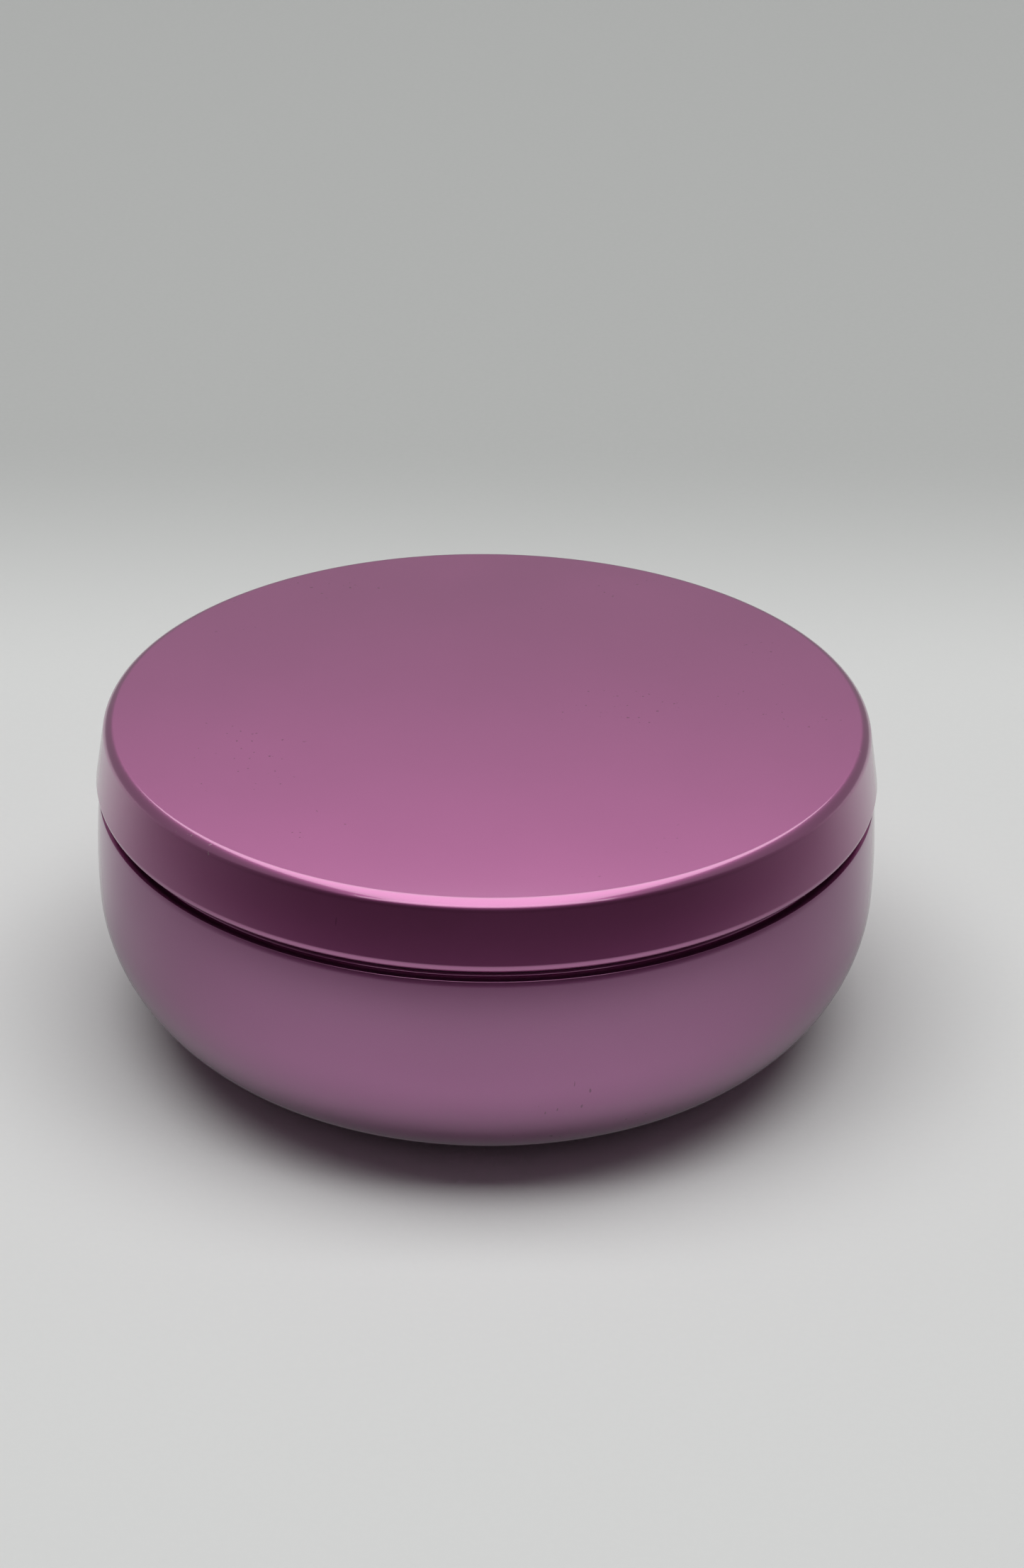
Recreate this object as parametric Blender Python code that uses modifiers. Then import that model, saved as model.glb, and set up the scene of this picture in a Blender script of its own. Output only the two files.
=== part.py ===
"""Round candle tin: a seamless pressed body, a slip lid with a curled hem, and three wicks set in wax.

Metres, +Z up. The origin is on the tin's axis, on the surface that it stands on.
"""

import math

import bpy

# Sheet and faceting
SHEET = 0.0003  # pressed tinplate
GAP = 0.0003  # air kept between neighbouring pieces
CUT_OVER = 0.002  # how far a cutter runs past the wax at both ends
SHELL_STEPS = 48  # facets round the tin
SMALL_STEPS = 16  # facets round a wick, its tab and its sticker
WALL_STEPS = 4
CORNER_STEPS = 10
CURL_STEPS = 7
EDGE_STEPS = 6
SHOULDER_STEPS = 3
SHARP_ANGLE = math.radians(40)  # a steeper edge than this is shaded sharp

# Body, from the floor up
FOOT_INNER_RADIUS = 0.0320  # flat ring that the tin stands on
PANEL_RADIUS = 0.0310  # raised panel inside that ring
PANEL_RISE = 0.0008
BULGE_RADIUS = 0.0580  # widest part of the body
BULGE_HEIGHT = 0.0261
BULGE_CURVE = 0.1047  # the wall's curve from foot to shoulder, seen from the side
CORNER_START = math.radians(-2)  # where the wall turns in towards the foot
SHOULDER_START = 0.0362  # the wall begins to turn in here, up to the ledge's sharp edge
SHOULDER_CURVE = 0.0071
LEDGE_HEIGHT = 0.03712  # flat ledge between that edge and the neck, under the lid's hem
NECK_RADIUS = 0.0558
RIM_CURL = 0.00095  # the mouth's edge is rolled inwards
RIM_CURL_END = math.radians(250)

# Lid
LID_TOP_HEIGHT = 0.0488
LID_EDGE_ROUND = 0.00174
LID_WALL_TAPER = math.radians(9.1)
HEM_RADIUS = 0.05773
HEM_CURL = 0.00137  # the hem is turned inwards, up to the neck
HEM_CURL_END = math.radians(-100)
HEM_HEIGHT = 0.03829  # underside of the hem, over the ledge

# Candle
WICK_CIRCLE = 0.0230
WICK_COUNT = 3
WICK_RADIUS = 0.00105
WICK_STANDS_PROUD = 0.0080
WAX_TOP = 0.0340
TAB_RADIUS = 0.0075
TAB_SHEET = 0.0004
TAB_NECK_RADIUS = 0.00175
TAB_NECK_HEIGHT = 0.0060
STICKER_RADIUS = 0.0065
STICKER_THICKNESS = 0.0006


def arc(centre, radius, start, end, steps):
    """Points (r, z) on an arc; the angles are above the outward horizontal."""
    turns = [start + (end - start) * i / steps for i in range(steps + 1)]
    return [(centre[0] + radius * math.cos(t), centre[1] + radius * math.sin(t)) for t in turns]


def material(name, colour, roughness, metallic):
    made = bpy.data.materials.new(name)
    made.use_nodes = True
    shader = made.node_tree.nodes["Principled BSDF"]
    shader.inputs["Base Color"].default_value = (*colour, 1.0)
    shader.inputs["Roughness"].default_value = roughness
    shader.inputs["Metallic"].default_value = metallic
    return made


def turned(name, profile, collection, steps, closed=False):
    """A profile of (r, z) points turned round Z. An outer side runs from top to bottom."""
    mesh = bpy.data.meshes.new(name)
    count = len(profile)
    edges = [(i, i + 1) for i in range(count - 1)]
    if closed:
        edges.append((count - 1, 0))
    mesh.from_pydata([(r, 0, z) for r, z in profile], edges, [])
    obj = bpy.data.objects.new(name, mesh)
    collection.objects.link(obj)
    screw = obj.modifiers.new("Turn", "SCREW")
    screw.axis = "Z"
    screw.steps = steps
    screw.render_steps = steps
    screw.use_merge_vertices = True
    screw.merge_threshold = 0.00001
    screw.use_smooth_shade = True
    return obj


def as_sheet(obj):
    """Gives a turned outer face the sheet's thickness, inwards."""
    solidify = obj.modifiers.new("Sheet", "SOLIDIFY")
    solidify.thickness = SHEET
    solidify.offset = -1
    solidify.use_even_offset = True


def bulge_centre():
    return (BULGE_RADIUS - BULGE_CURVE, BULGE_HEIGHT)


def corner_circle():
    """Centre and radius of the corner: it leaves the wall smoothly and just touches the floor."""
    start_radius, start_height = arc(bulge_centre(), BULGE_CURVE, CORNER_START, CORNER_START, 1)[0]
    radius = start_height / (1 + math.sin(CORNER_START))
    return (start_radius - radius * math.cos(CORNER_START), radius), radius


def wall_profile(inset, top, floor):
    """The wall and corner, this far inside the outer face, from the height top down to the height floor."""
    curve = BULGE_CURVE - inset
    start = math.asin((top - BULGE_HEIGHT) / curve)
    centre, radius = corner_circle()
    radius -= inset
    end = -math.asin((centre[1] - floor) / radius)
    wall = arc(bulge_centre(), curve, start, CORNER_START, WALL_STEPS)
    return wall[:-1] + arc(centre, radius, CORNER_START, end, CORNER_STEPS)


def shoulder_profile():
    """The turn from the ledge's edge down to the top of the wall."""
    slope = math.asin((SHOULDER_START - BULGE_HEIGHT) / BULGE_CURVE)
    centre = arc(bulge_centre(), BULGE_CURVE - SHOULDER_CURVE, slope, slope, 1)[0]
    edge = math.asin((LEDGE_HEIGHT - centre[1]) / SHOULDER_CURVE)
    return arc(centre, SHOULDER_CURVE, edge, slope, SHOULDER_STEPS)


def body_profile():
    rim_centre = (NECK_RADIUS - RIM_CURL, LID_TOP_HEIGHT - SHEET - GAP - RIM_CURL)
    return (
        arc(rim_centre, RIM_CURL, RIM_CURL_END, 0, CURL_STEPS)
        + [(NECK_RADIUS, LEDGE_HEIGHT)]
        + shoulder_profile()[:-1]
        + wall_profile(0, SHOULDER_START, 0)
        + [(FOOT_INNER_RADIUS, 0), (PANEL_RADIUS, PANEL_RISE), (0, PANEL_RISE)]
    )


def lid_profile():
    """Heights are above the underside of the hem, which is the lid's own origin."""
    top = LID_TOP_HEIGHT - HEM_HEIGHT
    hem_centre = (HEM_RADIUS - HEM_CURL, HEM_CURL)
    edge_height = top - LID_EDGE_ROUND
    # The wall is the straight line that touches both rounds.
    across = HEM_CURL - LID_EDGE_ROUND - (edge_height - hem_centre[1]) * math.sin(LID_WALL_TAPER)
    edge_centre = (hem_centre[0] + across / math.cos(LID_WALL_TAPER), edge_height)
    return (
        [(0, top)]
        + arc(edge_centre, LID_EDGE_ROUND, math.radians(90), LID_WALL_TAPER, EDGE_STEPS)
        + arc(hem_centre, HEM_CURL, LID_WALL_TAPER, HEM_CURL_END, CURL_STEPS)
    )


def candle_floor():
    """Lowest level of the wax and the stickers, just above the panel's inner face."""
    return PANEL_RISE + SHEET + GAP


def tab_floor():
    return candle_floor() + STICKER_THICKNESS + GAP


def tab_profile():
    bore = WICK_RADIUS + GAP
    floor = tab_floor()
    plate_top = floor + TAB_SHEET
    neck_top = plate_top + TAB_NECK_HEIGHT
    return [
        (bore, neck_top),
        (TAB_NECK_RADIUS, neck_top),
        (TAB_NECK_RADIUS, plate_top),
        (TAB_RADIUS, plate_top),
        (TAB_RADIUS, floor),
        (bore, floor),
    ]


def wax_cutter_profile():
    """The space that one wick, its tab and its sticker take up in the wax."""
    plate = tab_floor() + TAB_SHEET + GAP
    neck = plate + TAB_NECK_HEIGHT
    return [
        (0, WAX_TOP + CUT_OVER),
        (WICK_RADIUS + GAP, WAX_TOP + CUT_OVER),
        (WICK_RADIUS + GAP, neck),
        (TAB_NECK_RADIUS + GAP, neck),
        (TAB_NECK_RADIUS + GAP, plate),
        (TAB_RADIUS + GAP, plate),
        (TAB_RADIUS + GAP, candle_floor() - CUT_OVER),
        (0, candle_floor() - CUT_OVER),
    ]


def cylinder(name, radius, low, high, place, collection):
    bpy.ops.mesh.primitive_cylinder_add(
        vertices=SMALL_STEPS, radius=radius, depth=high - low, location=(*place, (low + high) / 2)
    )
    obj = bpy.context.object
    obj.name = name
    for other in obj.users_collection:
        other.objects.unlink(obj)
    collection.objects.link(obj)
    obj.data.shade_smooth()
    obj.data.set_sharp_from_angle(angle=SHARP_ANGLE)
    return obj


def build():
    for old in list(bpy.data.objects):
        bpy.data.objects.remove(old)

    parts = bpy.data.collections.new("candle_tin")
    cutters = bpy.data.collections.new("cutters")
    for collection in (parts, cutters):
        bpy.context.scene.collection.children.link(collection)

    enamel = material("pink_enamel", (0.38, 0.14, 0.28), 0.28, 0.9)
    wax_white = material("cream_wax", (0.86, 0.80, 0.68), 0.45, 0.0)
    cotton = material("wick_cotton", (0.85, 0.82, 0.74), 0.9, 0.0)
    tab_metal = material("tab_metal", (0.70, 0.70, 0.70), 0.3, 1.0)
    sticker_foam = material("sticker_foam", (0.90, 0.90, 0.88), 0.7, 0.0)

    body = turned("tin_body", body_profile(), parts, SHELL_STEPS)
    as_sheet(body)
    body.data.materials.append(enamel)

    lid = turned("lid", lid_profile(), parts, SHELL_STEPS)
    as_sheet(lid)
    lid.data.materials.append(enamel)
    lid_slide = bpy.data.objects.new("lid_slide", None)
    lid_slide.location = (0, 0, HEM_HEIGHT)
    parts.objects.link(lid_slide)
    lid.parent = lid_slide

    wax_side = wall_profile(SHEET + GAP, WAX_TOP, candle_floor())
    wax_profile = [(0, WAX_TOP)] + wax_side + [(0, candle_floor())]
    wax = turned("wax_fill", wax_profile, parts, SHELL_STEPS)
    wax.data.materials.append(wax_white)

    for number in range(1, WICK_COUNT + 1):
        turn = math.radians(90) + math.tau * (number - 1) / WICK_COUNT
        place = (WICK_CIRCLE * math.cos(turn), WICK_CIRCLE * math.sin(turn))
        low = candle_floor()
        sticker = cylinder(
            f"wick_sticker_{number}", STICKER_RADIUS, low, low + STICKER_THICKNESS, place, parts
        )
        sticker.data.materials.append(sticker_foam)
        tab = turned(f"wick_sustainer_{number}", tab_profile(), parts, SMALL_STEPS, closed=True)
        tab.location = (*place, 0)
        tab.data.materials.append(tab_metal)
        wick = cylinder(
            f"wick_{number}", WICK_RADIUS, tab_floor(), WAX_TOP + WICK_STANDS_PROUD, place, parts
        )
        wick.data.materials.append(cotton)

        cutter = turned(f"wick_space_{number}", wax_cutter_profile(), cutters, SMALL_STEPS)
        cutter.location = (*place, 0)
        cutter.hide_render = True
        cutter.display_type = "WIRE"
        cut = wax.modifiers.new(f"Wick space {number}", "BOOLEAN")
        cut.object = cutter


build()
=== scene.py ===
"""Round candle tin with a slip lid, three braided wicks and poured wax, and the studio that it stands in.

Metres, +Z up. The tin's axis is the Z axis, and it stands on z = 0.
"""

import math

import bmesh
import bpy
from mathutils import Matrix, Quaternion, Vector, noise


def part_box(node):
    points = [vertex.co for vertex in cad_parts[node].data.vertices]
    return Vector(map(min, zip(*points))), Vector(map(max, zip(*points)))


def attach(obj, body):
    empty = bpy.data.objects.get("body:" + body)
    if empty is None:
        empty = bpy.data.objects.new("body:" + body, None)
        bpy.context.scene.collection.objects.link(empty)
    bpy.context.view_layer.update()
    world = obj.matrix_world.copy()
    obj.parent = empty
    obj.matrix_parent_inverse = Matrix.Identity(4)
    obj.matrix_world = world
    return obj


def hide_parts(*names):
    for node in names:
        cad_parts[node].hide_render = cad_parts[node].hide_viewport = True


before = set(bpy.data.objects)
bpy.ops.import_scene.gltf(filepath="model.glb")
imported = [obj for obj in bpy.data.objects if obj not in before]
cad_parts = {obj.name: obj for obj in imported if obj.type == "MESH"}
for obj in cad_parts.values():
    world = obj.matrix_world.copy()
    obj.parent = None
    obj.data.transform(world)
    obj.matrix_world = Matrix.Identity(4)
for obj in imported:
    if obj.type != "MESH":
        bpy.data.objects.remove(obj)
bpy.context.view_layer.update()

bl_info = {
    "name": "Candle tin",
    "version": (1, 0, 0),
    "blender": (4, 5, 0),
    "location": "View3D > Sidebar > Candle tin",
    "description": "A pressed tin with a slip lid, wax and braided wicks",
    "category": "Add Mesh",
}

WICKS = sorted(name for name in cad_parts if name.startswith("wick_") and name[5:].isdigit())
# How much each wick's free end bends over, in 1/m
LEANS = {"wick_1": (5.0, -3.0, 0), "wick_2": (-4.0, 4.5, 0), "wick_3": (3.0, 5.5, 0)}
SURFACE_REACH = 0.0009  # how far out the wax still climbs a wall or a wick


# Sizes and colours that a user may change


class TinShape(bpy.types.PropertyGroup):
    """Sizes of the pressed body and its lid."""

    sheet: bpy.props.FloatProperty(
        name="Sheet", description="Thickness of the tinplate", default=0.0003, unit="LENGTH"
    )
    bulge_height: bpy.props.FloatProperty(
        name="Bulge height", description="Height of the widest ring", default=0.0261, unit="LENGTH"
    )
    bulge_curve: bpy.props.FloatProperty(
        name="Bulge curve", description="Radius of the wall seen from the side", default=0.1047, unit="LENGTH"
    )
    corner_start: bpy.props.FloatProperty(
        name="Corner start",
        description="Slope at which the wall turns in to the foot",
        default=math.radians(-2),
        subtype="ANGLE",
    )
    shoulder_start: bpy.props.FloatProperty(
        name="Shoulder start", description="Height where the wall turns in", default=0.0362, unit="LENGTH"
    )
    shoulder_curve: bpy.props.FloatProperty(
        name="Shoulder curve", description="Radius of that turn", default=0.0071, unit="LENGTH"
    )
    ledge_height: bpy.props.FloatProperty(
        name="Ledge height",
        description="Height of the flat ledge under the hem",
        default=0.03712,
        unit="LENGTH",
    )
    neck_radius: bpy.props.FloatProperty(
        name="Neck radius", description="Radius of the neck inside the lid", default=0.0558, unit="LENGTH"
    )
    rim_curl: bpy.props.FloatProperty(
        name="Rim curl", description="Radius of the rolled mouth", default=0.00095, unit="LENGTH"
    )
    lid_gap: bpy.props.FloatProperty(
        name="Lid gap", description="Air between the rim and the lid", default=0.0003, unit="LENGTH"
    )
    foot_inner_radius: bpy.props.FloatProperty(
        name="Foot inner radius", description="Inner edge of the foot ring", default=0.0320, unit="LENGTH"
    )
    panel_radius: bpy.props.FloatProperty(
        name="Panel radius", description="Radius of the raised bottom", default=0.0310, unit="LENGTH"
    )
    panel_rise: bpy.props.FloatProperty(
        name="Panel rise", description="How far the bottom is raised", default=0.0008, unit="LENGTH"
    )
    edge_round: bpy.props.FloatProperty(
        name="Lid edge round", description="Radius of the lid's top edge", default=0.00174, unit="LENGTH"
    )
    lid_taper: bpy.props.FloatProperty(
        name="Lid taper", description="Lean of the lid's wall", default=math.radians(9.1), subtype="ANGLE"
    )
    hem_radius: bpy.props.FloatProperty(
        name="Hem radius", description="Radius over the lid's rolled hem", default=0.05773, unit="LENGTH"
    )
    hem_curl: bpy.props.FloatProperty(
        name="Hem curl", description="Radius of the roll", default=0.00137, unit="LENGTH"
    )
    steps: bpy.props.IntProperty(
        name="Steps", description="Facets round the tin", default=288, min=48
    )


class CandleShape(bpy.types.PropertyGroup):
    """Sizes of the wax surface and the wicks."""

    air: bpy.props.FloatProperty(
        name="Air", description="Clearance between neighbouring pieces", default=0.0003, unit="LENGTH"
    )
    wall_climb: bpy.props.FloatProperty(
        name="Wall climb", description="How far the wax climbs the wall", default=0.0005, unit="LENGTH"
    )
    wick_climb: bpy.props.FloatProperty(
        name="Wick climb", description="How far the wax climbs a wick", default=0.0007, unit="LENGTH"
    )
    foot_sheet: bpy.props.FloatProperty(
        name="Foot sheet", description="Thickness of a wick's metal foot", default=0.0004, unit="LENGTH"
    )
    foot_neck: bpy.props.FloatProperty(
        name="Foot neck", description="Radius of the foot's neck", default=0.00175, unit="LENGTH"
    )
    crimp: bpy.props.FloatProperty(
        name="Crimp", description="Depth of the dents that grip the wick", default=0.00022, unit="LENGTH"
    )
    strands: bpy.props.IntProperty(name="Strands", description="Strands in a braid", default=8, min=4)
    strand_radius: bpy.props.FloatProperty(
        name="Strand radius", description="Radius of one strand", default=0.00030, unit="LENGTH"
    )
    twist: bpy.props.FloatProperty(
        name="Twist", description="Height of one turn of a strand", default=0.0058, unit="LENGTH"
    )


class Finish(bpy.types.PropertyGroup):
    """Colours and gloss."""

    lid_colour: bpy.props.FloatVectorProperty(
        name="Lid enamel",
        description="Metallic enamel of the lid",
        default=(0.50, 0.132, 0.345),
        subtype="COLOR",
    )
    body_colour: bpy.props.FloatVectorProperty(
        name="Body enamel",
        description="Metallic enamel of the body",
        default=(0.415, 0.122, 0.31),
        subtype="COLOR",
    )
    enamel_roughness: bpy.props.FloatProperty(
        name="Enamel roughness", description="Blur of the metallic layer", default=0.32
    )
    wax_colour: bpy.props.FloatVectorProperty(
        name="Wax", description="Cream wax", default=(0.92, 0.85, 0.70), subtype="COLOR"
    )
    cotton_colour: bpy.props.FloatVectorProperty(
        name="Cotton", description="Waxed cotton", default=(0.84, 0.79, 0.68), subtype="COLOR"
    )
    tin_colour: bpy.props.FloatVectorProperty(
        name="Bare tin", description="Clear lacquer on tin", default=(0.74, 0.72, 0.67), subtype="COLOR"
    )


class Studio(bpy.types.PropertyGroup):
    """Camera, floor and lights."""

    lens: bpy.props.FloatProperty(name="Lens", description="Focal length in mm", default=81.4)
    distance: bpy.props.FloatProperty(
        name="Distance", description="From the camera to the aim point", default=0.528, unit="LENGTH"
    )
    aim_height: bpy.props.FloatProperty(
        name="Aim height", description="Height of the aim point on the axis", default=0.0368, unit="LENGTH"
    )
    elevation: bpy.props.FloatProperty(
        name="Elevation",
        description="Height angle of the camera",
        default=math.radians(28.33),
        subtype="ANGLE",
    )
    aim_right: bpy.props.FloatProperty(
        name="Aim right", description="Turn of the camera past the tin", default=0.00706, subtype="ANGLE"
    )
    aim_down: bpy.props.FloatProperty(
        name="Aim down", description="Dip of the camera below the aim point", default=0.00046, subtype="ANGLE"
    )
    roll: bpy.props.FloatProperty(
        name="Roll", description="Lean of the camera", default=0.0089, subtype="ANGLE"
    )
    key_power: bpy.props.FloatProperty(
        name="Key light", description="Watts of the high key light", default=156.0
    )
    gloss_power: bpy.props.FloatProperty(
        name="Gloss card", description="Watts in the overhead reflection", default=2.85
    )
    front_power: bpy.props.FloatProperty(
        name="Front card", description="Watts in the front reflection", default=0.33
    )
    sky: bpy.props.FloatProperty(name="Sky", description="Brightness of the room", default=0.26)
    fill: bpy.props.FloatProperty(
        name="Fill", description="Brightness of the room in shadows", default=0.06
    )


# Profiles: lists of (radius, height). An outer side runs from top to bottom.


def arc(centre, radius, start, end, steps):
    """Points on an arc; the angles are above the outward horizontal."""
    turns = [start + (end - start) * i / steps for i in range(steps + 1)]
    return [(centre[0] + radius * math.cos(t), centre[1] + radius * math.sin(t)) for t in turns]


def eased(before, corner, after, radius, steps=5):
    """The arc that eases a corner between two straight runs."""
    corner = Vector(corner)
    back = (Vector(before) - corner).normalized()
    on = (Vector(after) - corner).normalized()
    half = back.angle(on) / 2
    centre = corner + (back + on).normalized() * radius / math.sin(half)
    ends = [corner + way * radius / math.tan(half) - centre for way in (back, on)]
    first, last = (math.atan2(end.y, end.x) for end in ends)
    sweep = (last - first + math.pi) % math.tau - math.pi
    return arc(centre, radius, first, first + sweep, steps)


def bulge_radius():
    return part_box("tin_body")[1].x


def wall_side(shape, inset, top, floor):
    """The wall and its corner, this far inside the outer face, from the height top to the height floor."""
    bulge = (bulge_radius() - shape.bulge_curve, shape.bulge_height)
    curve = shape.bulge_curve - inset
    leave = arc(bulge, shape.bulge_curve, shape.corner_start, shape.corner_start, 1)[0]
    corner = leave[1] / (1 + math.sin(shape.corner_start))
    centre = (leave[0] - corner * math.cos(shape.corner_start), corner)
    corner -= inset
    start = math.asin((top - shape.bulge_height) / curve)
    end = -math.asin((centre[1] - floor) / corner)
    wall = arc(bulge, curve, start, shape.corner_start, 14)
    return wall[:-1] + arc(centre, corner, shape.corner_start, end, 40)


def shoulder_side(shape, inset):
    """The turn from the ledge's sharp edge down to the top of the wall."""
    bulge = (bulge_radius() - shape.bulge_curve, shape.bulge_height)
    slope = math.asin((shape.shoulder_start - shape.bulge_height) / shape.bulge_curve)
    centre = arc(bulge, shape.bulge_curve - shape.shoulder_curve, slope, slope, 1)[0]
    curve = shape.shoulder_curve - inset
    edge = math.asin((shape.ledge_height - inset - centre[1]) / curve)
    return arc(centre, curve, edge, slope, 12)


def body_side(shape, inset):
    """One face of the body's sheet, from the end of the rolled rim down to the middle of the bottom."""
    lid_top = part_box("lid")[1].z
    rim = (shape.neck_radius - shape.rim_curl, lid_top - shape.sheet - shape.lid_gap - shape.rim_curl)
    ledge = shape.ledge_height - inset
    neck = shape.neck_radius - inset
    shoulder = shoulder_side(shape, inset)
    wall = wall_side(shape, inset, shape.shoulder_start, inset)
    neck_round, edge_round, foot_round = 0.00025, 0.00006, 0.0004
    foot = [wall[-1], (shape.foot_inner_radius, inset)]
    foot += [(shape.panel_radius, shape.panel_rise + inset), (0, shape.panel_rise + inset)]
    return (
        arc(rim, shape.rim_curl - inset, math.radians(250), 0, 28)
        + eased((neck, rim[1]), (neck, ledge), shoulder[0], neck_round + inset)
        + eased((neck, ledge), shoulder[0], shoulder[1], edge_round)
        + shoulder[1:-1]
        + wall
        + eased(*foot[0:3], foot_round)
        + eased(*foot[1:4], foot_round)
        + [foot[3]]
    )


def lid_side(shape, inset):
    """One face of the lid's sheet, from the middle of the top to the end of the rolled hem."""
    low, high = (corner.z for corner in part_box("lid"))
    hem = (shape.hem_radius - shape.hem_curl, low + shape.hem_curl)
    edge_height = high - shape.edge_round
    # The wall is the straight line that touches both rounds.
    across = shape.hem_curl - shape.edge_round - (edge_height - hem[1]) * math.sin(shape.lid_taper)
    edge = (hem[0] + across / math.cos(shape.lid_taper), edge_height)
    return (
        [(0, high - inset)]
        + arc(edge, shape.edge_round - inset, math.radians(90), shape.lid_taper, 20)
        + arc(hem, shape.hem_curl - inset, shape.lid_taper, math.radians(-100), 30)
    )


def wear_along(side):
    """0 where the face is flat and 1 where it bends tightly, so that only edges rub bare."""
    tight = 0.0012
    found = [0.0]
    for before, here, after in zip(side, side[1:], side[2:]):
        first, second = Vector(here) - Vector(before), Vector(after) - Vector(here)
        length = (first.length + second.length) / 2
        turn = first.angle(second) if first.length and second.length else 0
        found.append(min(1, turn / length * tight) if length else 0)
    return found + [0.0]


# Geometry trees


def add(tree, kind, values=None, **settings):
    """Adds a node. values fills its inputs: a socket is linked, anything else is set."""
    node = tree.nodes.new(kind)
    for name, value in settings.items():
        setattr(node, name, value)
    for key, value in (values or {}).items():
        if isinstance(value, bpy.types.NodeSocket):
            tree.links.new(value, node.inputs[key])
        else:
            node.inputs[key].default_value = value
    return node


def maths(tree, operation, first, second=0.0):
    return add(tree, "ShaderNodeMath", {0: first, 1: second}, operation=operation).outputs[0]


def new_tree(name, inputs):
    """A geometry tree with these named inputs, and one mesh out."""
    tree = bpy.data.node_groups.new(name, "GeometryNodeTree")
    for label, kind in inputs.items():
        tree.interface.new_socket(label, in_out="INPUT", socket_type="NodeSocket" + kind)
    tree.interface.new_socket("Mesh", in_out="OUTPUT", socket_type="NodeSocketGeometry")
    return tree, tree.nodes.new("NodeGroupInput").outputs


def polar(tree, radius, turn, height):
    """The point at this radius, turn and height."""
    along = maths(tree, "MULTIPLY", radius, maths(tree, "COSINE", turn))
    across = maths(tree, "MULTIPLY", radius, maths(tree, "SINE", turn))
    return add(tree, "ShaderNodeCombineXYZ", {0: along, 1: across, 2: height}).outputs[0]


def turned_tree():
    """Turns a profile round Z. Its points carry lining, 1 on the inner face, and wear."""
    tree, given = new_tree(
        "Turned sheet",
        {"Profile": "Geometry", "Steps": "Int", "Outside": "Material", "Inside": "Material"},
    )
    count = add(tree, "GeometryNodeAttributeDomainSize", {0: given["Profile"]}, component="MESH").outputs[0]
    columns = add(tree, "FunctionNodeIntegerMath", {0: given["Steps"], 1: 1}, operation="ADD").outputs[0]
    grid = add(tree, "GeometryNodeMeshGrid", {"Vertices X": columns, "Vertices Y": count}).outputs[0]
    index = add(tree, "GeometryNodeInputIndex").outputs[0]
    row = add(tree, "FunctionNodeIntegerMath", {0: index, 1: count}, operation="MODULO").outputs[0]
    column = add(tree, "FunctionNodeIntegerMath", {0: index, 1: count}, operation="DIVIDE_FLOOR").outputs[0]
    turn = maths(tree, "MULTIPLY", column, maths(tree, "DIVIDE", math.tau, given["Steps"]))

    def along_profile(field, data_type):
        sample = add(tree, "GeometryNodeSampleIndex", data_type=data_type)
        tree.links.new(given["Profile"], sample.inputs["Geometry"])
        tree.links.new(field, sample.inputs["Value"])
        tree.links.new(row, sample.inputs["Index"])
        return sample.outputs[0]

    place = along_profile(add(tree, "GeometryNodeInputPosition").outputs[0], "FLOAT_VECTOR")
    place = add(tree, "ShaderNodeSeparateXYZ", {0: place}).outputs
    turned = add(
        tree, "GeometryNodeSetPosition", {"Geometry": grid, "Position": polar(tree, place[0], turn, place[2])}
    ).outputs[0]
    for name in ("lining", "wear"):
        named = add(tree, "GeometryNodeInputNamedAttribute", {"Name": name}, data_type="FLOAT").outputs[0]
        turned = add(
            tree,
            "GeometryNodeStoreNamedAttribute",
            {"Geometry": turned, "Name": name, "Value": along_profile(named, "FLOAT")},
            data_type="FLOAT",
            domain="POINT",
        ).outputs[0]
    closed = add(tree, "GeometryNodeMergeByDistance", {"Geometry": turned, "Distance": 2e-6}).outputs[0]
    facing = add(tree, "GeometryNodeFlipFaces", {0: closed}).outputs[0]
    smooth = add(tree, "GeometryNodeSetShadeSmooth", {"Geometry": facing}).outputs[0]
    real = add(tree, "GeometryNodeRealizeInstances", {0: smooth}).outputs[0]
    painted = add(
        tree, "GeometryNodeSetMaterial", {"Geometry": real, "Material": given["Outside"]}
    ).outputs[0]
    lining = add(tree, "GeometryNodeInputNamedAttribute", {"Name": "lining"}, data_type="FLOAT").outputs[0]
    inner = maths(tree, "GREATER_THAN", lining, 0.6)
    lined = add(
        tree,
        "GeometryNodeSetMaterial",
        {"Geometry": painted, "Selection": inner, "Material": given["Inside"]},
    ).outputs[0]
    add(tree, "NodeGroupOutput", {0: lined})
    return tree


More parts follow.
